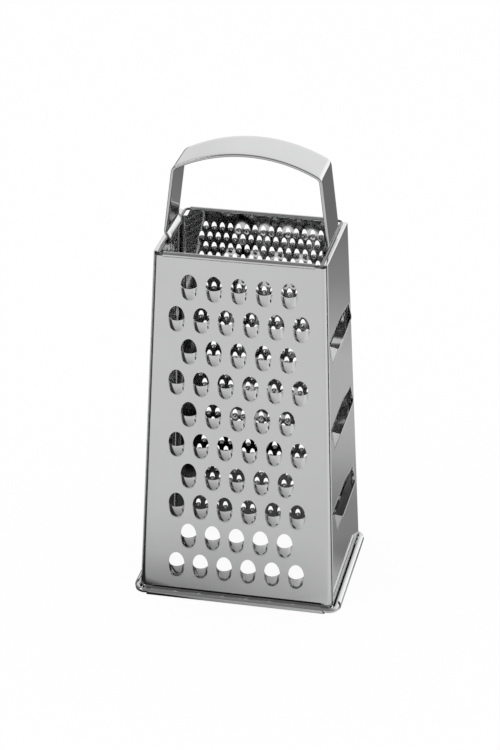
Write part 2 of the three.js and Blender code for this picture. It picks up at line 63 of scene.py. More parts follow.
@dataclass(frozen=True)
class Skin:
    """A surface of four-cornered faces, where a repeated corner makes a triangle.

    Attributes:
        points: corner points in millimetres, one row each. A cell's points have a fourth number.
        faces: four point numbers a row, anticlockwise seen from outside.
    """

    points: Array
    faces: Array

    @classmethod
    def grid(cls, lattice: Array, ring: bool = False) -> "Skin":
        """Faces between neighbouring points of a lattice. Columns crossed with rows point outwards.

        Args:
            lattice: points by row and column.
            ring: whether the last column joins the first.

        Returns:
            The skin over the lattice.
        """
        rows, columns, numbers = lattice.shape
        index = np.arange(rows * columns).reshape(rows, columns)
        if ring:
            index = np.column_stack([index, index[:, 0]])
        faces = np.stack([index[:-1, :-1], index[:-1, 1:], index[1:, 1:], index[1:, :-1]], axis=-1)
        return cls(lattice.reshape(-1, numbers), faces.reshape(-1, 4))

    @classmethod
    def joined(cls, skins: Sequence["Skin"]) -> "Skin":
        """Several skins as one, with the points that coincide welded together.

        Args:
            skins: the skins to join.

        Returns:
            One welded skin.
        """
        counts = [len(skin.points) for skin in skins]
        starts = np.cumsum([0] + counts[:-1])
        points = np.concatenate([skin.points for skin in skins])
        faces = np.concatenate([skin.faces + start for skin, start in zip(skins, starts)])
        cells = np.floor(points / WELD + WELD_SHIFT).astype(np.int64)
        _, first, inverse = np.unique(cells, axis=0, return_index=True, return_inverse=True)
        faces = inverse.reshape(-1)[faces]
        corners = (faces != np.roll(faces, 1, axis=1)).sum(axis=1)
        return cls(points[first], faces[corners >= 3])

    def moved(self, matrix: Array) -> "Skin":
        """The skin with every point multiplied by a 3 by 4 matrix."""
        return Skin(self.points @ matrix[:, :3].T + matrix[:, 3], self.faces)

    def normals(self) -> Array:
        """Unit normals at the points: the sum of the crossed diagonals of the faces around each."""
        a, b, c, d = (self.points[self.faces[:, k]] for k in range(4))
        across = np.cross(c - a, d - b)
        total = np.zeros_like(self.points)
        for corner in self.faces.T:
            np.add.at(total, corner, across)
        return total / np.maximum(np.linalg.norm(total, axis=1, keepdims=True), 1e-12)

    def thickened(self, thickness: Array) -> "Skin":
        """A closed sheet: this skin, a copy moved inwards along the normals, and a rim on the open edges.

        Args:
            thickness: how far inwards the second side lies at each point.

        Returns:
            The closed skin: first the outer faces, then as many inner ones, then the rim.
        """
        count = len(self.points)
        inner = self.points - thickness[:, None] * self.normals()
        edges = np.stack([self.faces, np.roll(self.faces, -1, axis=1)], axis=-1).reshape(-1, 2)
        edges = edges[edges[:, 0] != edges[:, 1]]
        there = edges[:, 0] * count + edges[:, 1]
        back = edges[:, 1] * count + edges[:, 0]
        a, b = edges[~np.isin(there, back)].T
        rim = np.column_stack([b, a, a + count, b + count])
        faces = np.concatenate([self.faces, self.faces[:, ::-1] + count, rim])
        return Skin(np.concatenate([self.points, inner]), faces)

    def outward(self) -> "Skin":
        """The closed skin turned right side out: its faces are reversed if they enclose a negative volume."""
        a, b, c, d = (self.points[self.faces[:, k]] for k in range(4))
        volume = np.einsum("ij,ij->", a, np.cross(b, c)) + np.einsum("ij,ij->", a, np.cross(c, d))
        return self if volume > 0 else Skin(self.points, self.faces[:, ::-1])

    def mesh(self, name: str) -> bpy.types.Mesh:
        """A smooth-shaded Blender mesh in metres, with sharp edges where faces meet steeply.

        Args:
            name: the mesh's name.

        Returns:
            The new mesh.
        """
        keep = self.faces != np.roll(self.faces, 1, axis=1)
        loops = self.faces[keep].astype(np.int32)
        totals = keep.sum(axis=1)
        starts = np.concatenate([[0], np.cumsum(totals)[:-1]]).astype(np.int32)
        mesh = bpy.data.meshes.new(name)
        mesh.vertices.add(len(self.points))
        mesh.vertices.foreach_set("co", (self.points * MM).astype(np.float32).ravel())
        mesh.loops.add(len(loops))
        mesh.loops.foreach_set("vertex_index", loops)
        mesh.polygons.add(len(starts))
        mesh.polygons.foreach_set("loop_start", starts)
        mesh.update(calc_edges=True)
        mesh.validate()
        mesh.shade_smooth()
        mesh.set_sharp_from_angle(angle=SHARP_ANGLE)
        return mesh


class Value:
    """A number socket whose arithmetic adds Math nodes to its tree."""

    def __init__(self, tree: "Tree", socket: bpy.types.NodeSocket) -> None:
        """Wraps one output socket of a tree."""
        self.tree = tree
        self.socket = socket

    def math(self, operation: str, other: Any) -> "Value":
        """A Math node on this value and another.

        Args:
            operation: the Math node's operation.
            other: a Value or a number.

        Returns:
            The node's result.
        """
        node = self.tree.add("ShaderNodeMath", {0: self, 1: other}, operation=operation)
        return Value(self.tree, node.outputs[0])

    def __add__(self, other: Any) -> "Value":
        """This value plus another."""
        return self.math("ADD", other)

    __radd__ = __add__

    def __sub__(self, other: Any) -> "Value":
        """This value minus another."""
        return self.math("SUBTRACT", other)

    def __mul__(self, other: Any) -> "Value":
        """This value times another."""
        return self.math("MULTIPLY", other)


class Tree:
    """A node tree with one way to add a node."""

    def __init__(self, nodes: bpy.types.NodeTree) -> None:
        """Empties the tree."""
        self.nodes = nodes
        nodes.nodes.clear()

    def add(self, kind: str, inputs: dict[Any, Any] | None = None, **settings: Any) -> Any:
        """Adds a node, sets it up and fills its sockets.

        Args:
            kind: the node's type.
            inputs: numbers, Values or sockets, by the socket's name or number.
            settings: the node's properties, set before its sockets are filled.

        Returns:
            The node.
        """
        node = self.nodes.nodes.new(kind)
        for key, setting in settings.items():
            setattr(node, key, setting)
        for key, given in (inputs or {}).items():
            source = given.socket if isinstance(given, Value) else given
            if isinstance(source, bpy.types.NodeSocket):
                self.nodes.links.new(source, node.inputs[key])
            else:
                node.inputs[key].default_value = source
        return node

    def greys(self, stops: Stops, place: Any) -> Value:
        """A grey looked up in a colour ramp.

        Args:
            stops: places from 0 to 1, in order, and their greys.
            place: the Value or socket to look up.

        Returns:
            The grey.
        """
        node = self.add("ShaderNodeValToRGB", {0: place})
        for stop, _ in stops[2:]:
            node.color_ramp.elements.new(stop)
        for element, (stop, grey) in zip(node.color_ramp.elements, stops):
            element.position = stop
            element.color = (grey, grey, grey, 1.0)
        return self.value(node, 0)

    def value(self, node: Any, output: Any) -> Value:
        """One output of a node as a Value."""
        return Value(self, node.outputs[output])

    def noise(self, size: Triple, detail: float) -> Value:
        """Noise on object coordinates, with cells of a size along each axis.

        Args:
            size: the noise's cell along X, Y and Z, in millimetres.
            detail: the noise's detail.

        Returns:
            The noise, from 0 to 1.
        """
        place = self.add("ShaderNodeTexCoord")
        scale = tuple(1 / (length * MM) for length in size)
        stretched = self.add("ShaderNodeMapping", {"Vector": place.outputs["Object"], "Scale": scale})
        inputs = {"Vector": stretched.outputs[0], "Scale": 1.0, "Detail": detail}
        return self.value(self.add("ShaderNodeTexNoise", inputs), 0)

    def mixed(self, factor: Value, first: Sequence[float], second: Sequence[float]) -> Any:
        """A colour between two others, as a socket.

        Args:
            factor: 0 for the first colour and 1 for the second.
            first: the first colour.
            second: the second colour.

        Returns:
            The mixed colour's socket.
        """
        inputs = {0: factor, 6: (*first, 1.0), 7: (*second, 1.0)}
        return self.add("ShaderNodeMix", inputs, data_type="RGBA").outputs[2]


@dataclass(frozen=True)
class SteelFinish:
    """Bare steel: a metal whose colour and gloss wander a little, with fine grain lines.

    Attributes:
        name: the material's name.
        colour: the metal's colour where it is cleanest.
        dulled: its colour where it is duller.
        roughness: mean roughness.
        wander: how far roughness varies over the surface.
        grain: size of a grain streak along X, Y and Z, in millimetres.
        grain_depth: height of the grain lines, in millimetres.
        cloud: size of the duller patches, in millimetres.
    """

    name: str
    colour: Triple
    dulled: Triple
    roughness: float
    wander: float
    grain: Triple
    grain_depth: float
    cloud: float

    @cache
    def material(self) -> bpy.types.Material:
        """The finish as one node material: grain drives bump and gloss, and clouds drive colour and gloss."""
        material = bpy.data.materials.new(self.name)
        material.use_nodes = True
        tree = Tree(material.node_tree)
        grain = tree.noise(self.grain, GRAIN_DETAIL)
        cloud = tree.noise((self.cloud,) * 3, CLOUD_DETAIL)
        roughness = self.roughness + (grain - 0.5) * self.wander + (cloud - 0.5) * self.wander
        lines = {"Strength": 1.0, "Distance": self.grain_depth * MM, "Height": grain}
        bump = tree.add("ShaderNodeBump", lines)
        look = {
            "Base Color": tree.mixed(cloud, self.dulled, self.colour),
            "Metallic": 1.0,
            "Roughness": roughness,
            "Normal": bump.outputs[0],
        }
        shader = tree.add("ShaderNodeBsdfPrincipled", look)
        tree.add("ShaderNodeOutputMaterial", {"Surface": shader.outputs[0]})
        return material


OUTER_SHEET = SteelFinish(
    name="rolled_sheet",
    colour=(0.63, 0.632, 0.636),
    dulled=(0.58, 0.582, 0.586),
    roughness=0.08,
    wander=0.03,
    grain=(0.4, 0.4, 30.0),
    grain_depth=0.0008,
    cloud=38.0,
)
INNER_SHEET = SteelFinish(
    name="mirror_sheet",
    colour=(0.65, 0.652, 0.656),
    dulled=(0.58, 0.582, 0.586),
    roughness=0.05,
    wander=0.03,
    grain=(0.5, 0.5, 30.0),
    grain_depth=0.0004,
    cloud=45.0,
)
STRAP_STEEL = SteelFinish(
    name="polished_strap",
    colour=(0.55, 0.552, 0.555),
    dulled=(0.5, 0.502, 0.506),
    roughness=0.12,
    wander=0.05,
    grain=(16.0, 0.35, 16.0),
    grain_depth=0.0008,
    cloud=22.0,
)
WIRE_STEEL = SteelFinish(
    name="drawn_wire",
    colour=(0.62, 0.622, 0.625),
    dulled=(0.52, 0.522, 0.526),
    roughness=0.12,
    wander=0.06,
    grain=(6.0, 6.0, 0.25),
    grain_depth=0.0008,
    cloud=15.0,
)
# Painted shade: the top wire gets a near-black colour for the shade and dark reflections it lies in between
# the hems; the wire itself is the same drawn steel as the base wire.
PAINTED_SHADE_WIRE = replace(
    WIRE_STEEL,
    name="painted_shade_wire",
    colour=(0.2, 0.2, 0.2),
    dulled=(0.14, 0.14, 0.14),
)


class Side(Enum):
    """The four sides, by the turn about Z that takes the front there, in degrees."""

    FRONT = 0
    RIGHT = 90
    BACK = 180
    LEFT = 270


@dataclass(frozen=True)
class Body:
    """The tapered shell that the panels make up, measured to the sheets' outer faces.

    The hems' end and sweep are degrees. edge_part is how much of its thickness the sheet keeps at the free
    edge of a pressed lip.
    """

    height: float = 191.0
    base_width: float = 103.6
    base_depth: float = 79.6
    rim_width: float = 88.0
    rim_depth: float = 58.0
    sheet: float = 0.5
    lap_gap: float = 0.3
    corner_bend: float = 2.4
    lap_length: float = 2.2
    base_wire: float = 1.3
    base_corner: float = 4.2
    base_hem_setback: float = 0.9
    base_hem_slant: float = 2.4
    base_hem_end: float = 445.0
    top_wire: float = 0.65
    top_corner: float = 2.0
    top_drop: float = 0.2
    top_hem_sweep: float = 280.0
    top_hem_setback: float = 0.4
    top_notch: float = 1.6
    wire_gap: float = 0.25
    fold_length: float = 2.0
    fold_square: float = 3.5
    fold_stretch: float = 1.14
    back_reach: float = 2.0
    corner_lift: float = 0.05
    back_bow: float = 1.75
    hem_top: float = 6.0
    edge_part: float = 0.35
    base_hem_rows: int = 33
    top_hem_rows: int = 31
    fold_rows: int = 25

    def half_width(self, z: Any) -> Any:
        """Half the width at a height, in a straight line from the base to the rim."""
        return (self.base_width + (self.rim_width - self.base_width) * z / self.height) / 2

    def half_depth(self, z: Any) -> Any:
        """Half the depth at a height, in a straight line from the base to the rim."""
        return (self.base_depth + (self.rim_depth - self.base_depth) * z / self.height) / 2

    @property
    def base_hem(self) -> float:
        """Radius of the sheet's outer face where it rolls around the base wire."""
        return self.base_wire + self.wire_gap

    @property
    def base_ring_height(self) -> float:
        """Height of the base wire: the roll's outside rests on the table."""
        return self.base_hem + self.sheet

    @property
    def top_hem(self) -> float:
        """Radius of the sheet's outer face where it rolls over the top wire."""
        return self.top_wire + self.wire_gap

    @property
    def top_ring_height(self) -> float:
        """Height of the top wire."""
        return self.height - self.top_drop

    @property
    def fold(self) -> float:
        """Radius of the sheet's outer face where a side's rim folds over the laps."""
        return self.lap_gap + 1.5 * self.sheet

    @property
    def top_ring_half_depth(self) -> float:
        """The top wire's distance from the middle, in the front rim."""
        lean = math.atan2(self.base_depth - self.rim_depth, 2 * self.height)
        return self.half_depth(self.top_ring_height) + self.top_hem / math.cos(lean)

    @property
    def top_ring_half_width(self) -> float:
        """The top wire's distance from the middle, inside the folded side rims."""
        return self.half_width(self.top_ring_height) - 2 * self.fold - self.lap_gap - self.top_wire


BODY = Body()


def steps_between(steps: Array) -> tuple[Array, Array]:
    """Numbers the evenly spaced points of a line through corners.

    Args:
        steps: how many steps lie between each corner and the next.

    Returns:
        For each point, the corner before it and the part of the way to the next.
    """
    starts = np.repeat(np.cumsum(steps) - steps, steps)
    part = (np.arange(steps.sum()) - starts) / np.repeat(steps, steps)
    return np.repeat(np.arange(len(steps)), steps), part


def rectangle_ring(half: float, low: float, high: float, across: int, up: int) -> Array:
    """Points round a rectangle, anticlockwise from the middle of its right side, evenly spaced on each side.

    Args:
        half: half its width.
        low: its lower edge.
        high: its upper edge.
        across: steps along the level sides.
        up: steps along the upright sides, an even number.

    Returns:
        Points in u and v, the first not repeated.
    """
    middle = (low + high) / 2
    start = (half, middle)
    corners = np.array([start, (half, high), (-half, high), (-half, low), (half, low), start])
    at, part = steps_between(np.array([up // 2, across, up, across, up // 2]))
    return corners[at] + part[:, None] * (corners[at + 1] - corners[at])


def ramp(part: Array, ease: float) -> Array:
    """A rise from 0 to 1 that starts level and soon runs straight, as one branch of a hyperbola.

    Args:
        part: how far along, from 0 to 1.
        ease: how long the level start is.

    Returns:
        The height.
    """
    return (np.sqrt(part**2 + ease**2) - ease) / (math.sqrt(1 + ease**2) - ease)


@dataclass(frozen=True)
class Cell:
    """One punched point in its own rectangle of the panel, with the steps along the rectangle's sides."""

    width: float
    rise: float
    pitch: float
    row_pitch: float
    across: int
    up: int

    @property
    def low(self) -> float:
        """The cell's lower edge."""
        return -self.row_pitch / 2

    def ring(self) -> tuple[Array, Array]:
        """The points round the cell's edge, and an angle for each, evenly spaced."""
        outer = rectangle_ring(self.pitch / 2, self.low, self.low + self.row_pitch, self.across, self.up)
        return outer, np.arange(len(outer)) / len(outer) * 2 * math.pi

    def skin(self) -> Skin:
        """The cell's skin in u, v and w, with a fourth number for the field's spread."""
        raise NotImplementedError


@dataclass(frozen=True)
class Tooth(Cell):
    """A punched tooth: an open arch above and a raised lip below.

    The tooth's line, from corner to corner, is at v = 0.

    Attributes:
        fullness: power that makes the egg's lower half fuller than an ellipse.
        crowding: power that crowds the flat rings towards the egg.
        arch: power of the lip's height along the line and up the lip.
    """

    opening: float
    lip: float
    dip: float
    rings: int
    lip_rows: int
    fullness: float = 0.8
    crowding: float = 0.8
    arch: float = 1.5

    @property
    def low(self) -> float:
        """The cell's lower edge, as far from the lip's foot as the upper edge is from the opening."""
        return (self.opening - self.lip - self.row_pitch) / 2

    def skin(self) -> Skin:
        """The cell's skin: flat rings from a rectangle to an egg, and the lip from the egg's lower half.

        The egg is half an ellipse above the line and a fuller one below. The lip runs straight up the panel
        from the lower half to an arch over the line. Its height above the panel goes steeply up from the foot
        and levels out towards the arch.

        Returns:
            The skin in u, v and w. Its fourth number is 1 where a point follows the field's spread, and 0
            where it keeps to the tooth.
        """
        half = self.width / 2
        outer, angle = self.ring()
        above, below = np.clip(np.sin(angle), 0, None), np.clip(-np.sin(angle), 0, None)
        egg = np.column_stack([half * np.cos(angle), self.opening * above - self.lip * below**self.fullness])
        step = (np.linspace(0, 1, self.rings + 1) ** self.crowding)[:, None, None]
        flat = outer + step * (egg - outer)
        follow = np.broadcast_to(1 - step, flat[..., :1].shape)
        flat = np.concatenate([flat, 0 * follow, follow], axis=-1)
        angle = np.linspace(math.pi, 2 * math.pi, len(outer) // 2 + 1)
        depth = np.abs(np.sin(angle))
        depth[[0, -1]] = 0
        part = np.linspace(0, 1, self.lip_rows + 1)[:, None]
        u = half * np.cos(angle) + 0 * part
        v = -(self.lip * (1 - part) * depth**self.fullness + self.dip * part * depth)
        w = self.rise * depth**self.arch * (1 - (1 - part) ** self.arch)
        return Skin.joined([Skin.grid(flat, ring=True), Skin.grid(np.stack([u, v, w, 0 * w], axis=-1))])


@dataclass(frozen=True)
class Prickle(Cell):
    """A point burst outwards through the sheet: a small crater centred on v = 0.

    Attributes:
        mouth: width of the crater's mouth.
        barbs: how many barbs stand up round the mouth.
        tear: how far the barbs stand above and below the rise, as a part of it.
    """

    mouth: float
    barbs: int = 4
    tear: float = 0.18

    def skin(self) -> Skin:
        """The cell's skin: a flat ring from a rectangle to a circle, and a cone from there to the torn mouth.

        Returns:
            The skin in u, v and w, with a fourth number as for a tooth.
        """
        outer, angle = self.ring()
        circle = np.column_stack([np.cos(angle), np.sin(angle)])
        torn = self.rise * (1 + self.tear * np.cos(self.barbs * angle))
        level, follow = 0 * angle, 0 * angle + 1
        flat = np.column_stack([outer, level, follow])
        foot = np.column_stack([circle * self.width / 2, level, level])
        mouth = np.column_stack([circle * self.mouth / 2, torn, level])
        return Skin.grid(np.stack([flat, foot, mouth]), ring=True)


@dataclass(frozen=True)
class Field:
    """Staggered rows of one cell on a panel.

    Attributes:
        cell: the tooth or prickle of each cell.
        rows: how many rows there are.
        across: how many cells are in the longest row.
        top: how far up the panel the top row's line is.
        shrink: whether the top row and every second one after it hold one cell fewer. Otherwise every second
            row is moved half a pitch to the right.
        spread: how much wider the field gets for each millimetre down from the top row.
    """

    cell: Cell
    rows: int
    across: int
    top: float
    shrink: bool
    spread: float = 0.0

    @property
    def sides(self) -> tuple[float, float]:
        """The u of the field's left and right sides, at the top row."""
        half = self.cell.pitch * self.across / 2
        return -half, half + (0 if self.shrink else self.cell.pitch / 2)

    @property
    def columns(self) -> Array:
        """The u of the points along a row's edge, at the top row."""
        left, right = self.sides
        return np.linspace(left, right, round((right - left) / self.cell.pitch * self.cell.across) + 1)

    @property
    def levels(self) -> Array:
        """The v of the points along the field's upright sides."""
        low = self.top + self.cell.low - (self.rows - 1) * self.cell.row_pitch
        return np.linspace(low, low + self.rows * self.cell.row_pitch, self.rows * self.cell.up + 1)

    def stretch(self, v: Any) -> Any:
        """How many times wider the field is at v than at the top row."""
        return 1 + self.spread * (self.top - v)

    def copies(self, cell: Skin, places: Array) -> Skin:
        """Copies of a cell: places move outwards by the stretch, and so do points by their fourth number.

        Args:
            cell: the cell's skin, with its fourth number.
            places: the u and v of each copy, before the stretch.

        Returns:
            All the copies in one skin.
        """
        u, v, w, follow = cell.points.T
        v = places[:, 1:] + v
        more = self.stretch(v) - 1
        u = places[:, :1] * (1 + more) + u * (1 + more * follow)
        points = np.stack([u, v, np.broadcast_to(w, u.shape)], axis=-1)
        starts = np.arange(len(places)) * len(cell.points)
        faces = cell.faces + starts[:, None, None]
        return Skin(points.reshape(-1, 3), faces.reshape(-1, 4))

    def skin(self) -> Skin:
        """All the cells, with flat half cells where a row is shorter than the field.

        Returns:
            The skin in u, v and w.
        """
        cell = self.cell
        row, place = np.arange(self.rows), np.arange(self.across)
        even = row % 2 == 0
        short = even & self.shrink
        moved = ~even & (not self.shrink)
        count = self.across - short
        line = self.top - row * cell.row_pitch
        u = (place - (count[:, None] - 1) / 2 + moved[:, None] / 2) * cell.pitch
        v = np.broadcast_to(line[:, None], u.shape)
        used = place < count[:, None]
        left, right = short | moved, short | (even & (not self.shrink))
        starts = np.repeat([self.sides[0], self.sides[1] - cell.pitch / 2], [left.sum(), right.sum()])
        gap_u = np.linspace(0, cell.pitch / 2, cell.across // 2 + 1)
        gap_v = np.linspace(cell.low, cell.low + cell.row_pitch, cell.up + 1)
        gap_u, gap_v = np.meshgrid(gap_u, gap_v)
        gap = Skin.grid(np.stack([gap_u, gap_v, 0 * gap_u, 0 * gap_u + 1], axis=-1))
        teeth = self.copies(cell.skin(), np.column_stack([u[used], v[used]]))
        fillers = self.copies(gap, np.column_stack([starts, np.concatenate([line[left], line[right]])]))
        return Skin.joined([teeth, fillers])


@dataclass(frozen=True)
class Panel:
    """One side of the grater, worked out as the front and then turned into place.

    Its own frame has u along the panel, v up the outer face from the table and w out of it.
    """

    name: str
    side: Side

    @property
    def laps(self) -> bool:
        """Whether the sheet bends round the corners and laps behind the sides."""
        return self.side in (Side.FRONT, Side.BACK)

    def reach(self, z: Any) -> Any:
        """Distance of the outer face from the middle, at a height."""
        return BODY.half_depth(z) if self.laps else BODY.half_width(z)

    @property
    def lean(self) -> float:
        """How far the face leans in from upright, in radians."""
        return math.atan2(self.reach(0) - self.reach(BODY.height), BODY.height)

    def extra(self, right: bool) -> float:
        """How much further a side panel reaches at an edge: its back edge covers the back's bend."""
        return BODY.back_reach if self.side is (Side.RIGHT if right else Side.LEFT) else 0.0

    def flat_half(self, z: Any, right: bool) -> Any:
        """Distance of the flat face's right or left edge from its middle, at a height."""
        if self.laps:
            return BODY.half_width(z) - BODY.sheet - BODY.lap_gap - BODY.corner_bend
        return BODY.half_depth(z) - BODY.corner_bend + self.extra(right)

    @property
    def matrix(self) -> Array:
        """The 3 by 4 matrix from the panel's frame to the grater's, before its turn."""
        s, c = math.sin(self.lean), math.cos(self.lean)
        return np.array([(1, 0, 0, 0), (0, s, -c, -self.reach(0)), (0, c, s, 0)])

    @property
    def ring_reach(self) -> float:
        """Distance of the base wire from the middle, under this panel."""
        return self.reach(BODY.base_ring_height) + BODY.base_hem / math.cos(self.lean)

    @property
    def span(self) -> tuple[float, float]:
        """The lowest and highest v of the flat face, where the hems take over."""
        low = BODY.base_ring_height - BODY.base_hem * math.sin(self.lean)
        if self.laps:
            high = BODY.top_ring_height - BODY.top_hem * math.sin(self.lean)
        else:
            high = BODY.height - BODY.fold + BODY.fold * math.sin(self.lean)
        return low / math.cos(self.lean), high / math.cos(self.lean)

    def on_face(self, u: Array, v: Array) -> Array:
        """Points of the flat face: v along the slant gives the height and the reach.

        Args:
            u: distances along the panel.
            v: distances up its face, of the same shape.

        Returns:
            The points, in the grater's frame before the turn.
        """
        z = v * math.cos(self.lean)
        return np.stack([u, -self.reach(z), z], axis=-1)

    def roll(self, u: Array, reach: float, height: float, radius: Any, angles: Array, tail: float) -> Array:
        """A profile carried along u: an arc about a wire or a fold's middle, then a straight tail.

        Args:
            u: the columns.
            reach: the arc's middle, outwards.
            height: the arc's middle, upwards.
            radius: the arc's radius, or one for each angle.
            angles: angles from outwards, anticlockwise seen from the right end, in radians.
            tail: length of the straight run after the arc.

        Returns:
            A lattice with a row for each angle and one for the tail's end.
        """
        out = reach + radius * np.cos(angles)
        up = height + radius * np.sin(angles)
        if tail > 0:
            out = np.append(out, out[-1] - tail * math.sin(angles[-1]))
            up = np.append(up, up[-1] + tail * math.cos(angles[-1]))
        u, out = np.broadcast_arrays(u[None], -out[:, None])
        return np.stack([u, out, np.broadcast_to(up[:, None], u.shape)], axis=-1)

    def base_hem(self, u: Array) -> Skin:
        """The bottom hem, rolled out under the base wire and over it, with ends that slant in to the tip.

        Args:
            u: the columns from end to end.

        Returns:
            The hem's skin, its last row on the face's lower edge.
        """
        angles = np.linspace(math.radians(BODY.base_hem_end), math.pi + self.lean, BODY.base_hem_rows)
        lattice = self.roll(u, self.ring_reach, BODY.base_ring_height, BODY.base_hem, angles, 0).copy()
        rise = (lattice[:, 0, 2] - lattice[:, 0, 2].min()) / (2 * BODY.base_hem)
        turned = (angles - angles[-1]) / (angles[0] - angles[-1])
        slant = BODY.base_hem_slant * rise * turned
        lattice[:, 0, 0] += slant
        lattice[:, -1, 0] -= slant
        return Skin.grid(lattice)

    def top_hem(self, u: Array) -> Skin:
        """The rim: rolled out over the top wire on the front and back, folded in on the sides.

        The fold is half of a squared circle, on which the distances out and up, raised to a power, add up to
        the radius raised to it. It is stretched inwards a little.

        Args:
            u: the columns from end to end.

        Returns:
            The rim's skin, its first row on the face's upper edge.
        """
        if self.laps:
            sweep = np.linspace(0, math.radians(BODY.top_hem_sweep), BODY.top_hem_rows)
            angles = math.pi + self.lean - sweep
            lattice = self.roll(u, BODY.top_ring_half_depth, BODY.top_ring_height, BODY.top_hem, angles, 0)
        else:
            height = BODY.height - BODY.fold
            reach = self.reach(height) - BODY.fold / math.cos(self.lean)
            turned = np.linspace(0, math.pi, BODY.fold_rows)
            power = BODY.fold_square
            radius = BODY.fold * (np.abs(np.cos(turned)) ** power + np.sin(turned) ** power) ** (-1 / power)
            lattice = self.roll(u, reach, height, radius, self.lean + turned, BODY.fold_length)
            lattice[..., 1] = lattice[0, 0, 1] + (lattice[..., 1] - lattice[0, 0, 1]) * BODY.fold_stretch
        return Skin.grid(lattice)

    def sheet_at(self, points: Array, rise: float) -> Array:
        """The sheet's thickness: it thins as it rises in a pressed lip, to about a third at the edge.

        Args:
            points: points of the outer face, in the grater's frame before the turn.
            rise: how far the panel's lips stand out.

        Returns:
            The thickness at each point.
        """
        out = (points - self.matrix[:, 3]) @ self.matrix[:, 2]
        pressed = (points[:, 2] > BODY.hem_top) & (points[:, 2] < BODY.height - BODY.hem_top)
        thinned = (1 - BODY.edge_part) * np.where(pressed, out, 0) / rise
        return BODY.sheet * np.clip(1 - thinned, BODY.edge_part, 1)

    def bowed(self, skin: Skin) -> Skin:
        """The back sheet bowed outwards, and the others as they are.

        The bow is a parabola from the base hem to the rim, and falls to nothing at the upright edges with
        the fourth power of the way there.

        Args:
            skin: the sheet's outer face, in the grater's frame before the turn.

        Returns:
            The skin with its points moved.
        """
        if self.side is not Side.BACK:
            return skin
        x, y, z = skin.points.T
        up = np.clip((z - BODY.hem_top) / (BODY.height - BODY.hem_top), 0, 1)
        across = np.clip(x / BODY.half_width(z), -1, 1)
        out = BODY.back_bow * 4 * up * (1 - up) * (1 - across**4)
        return Skin(np.column_stack([x, y - out, z]), skin.faces)

    def dress(self, skin: Skin, rise: float) -> bpy.types.Object:
        """Gives the skin its sheet thickness, its turn and its two finishes, and puts it in the scene.

        Args:
            skin: the sheet's outer face, in the grater's frame before the turn.
            rise: how far the panel's lips stand out.

        Returns:
            The panel's object.
        """
        turn = math.radians(self.side.value)
        s, c = math.sin(turn), math.cos(turn)
        matrix = np.array([(c, -s, 0, 0), (s, c, 0, 0), (0, 0, 1, 0)])
        closed = self.bowed(skin).moved(matrix).thickened(self.sheet_at(skin.points, rise))
        mesh = closed.mesh(self.name)
        inside = np.zeros(len(mesh.polygons), np.int32)
        inside[len(skin.faces) : 2 * len(skin.faces)] = 1
        mesh.polygons.foreach_set("material_index", inside)
        return place_piece(mesh, self.name, [OUTER_SHEET, INNER_SHEET])


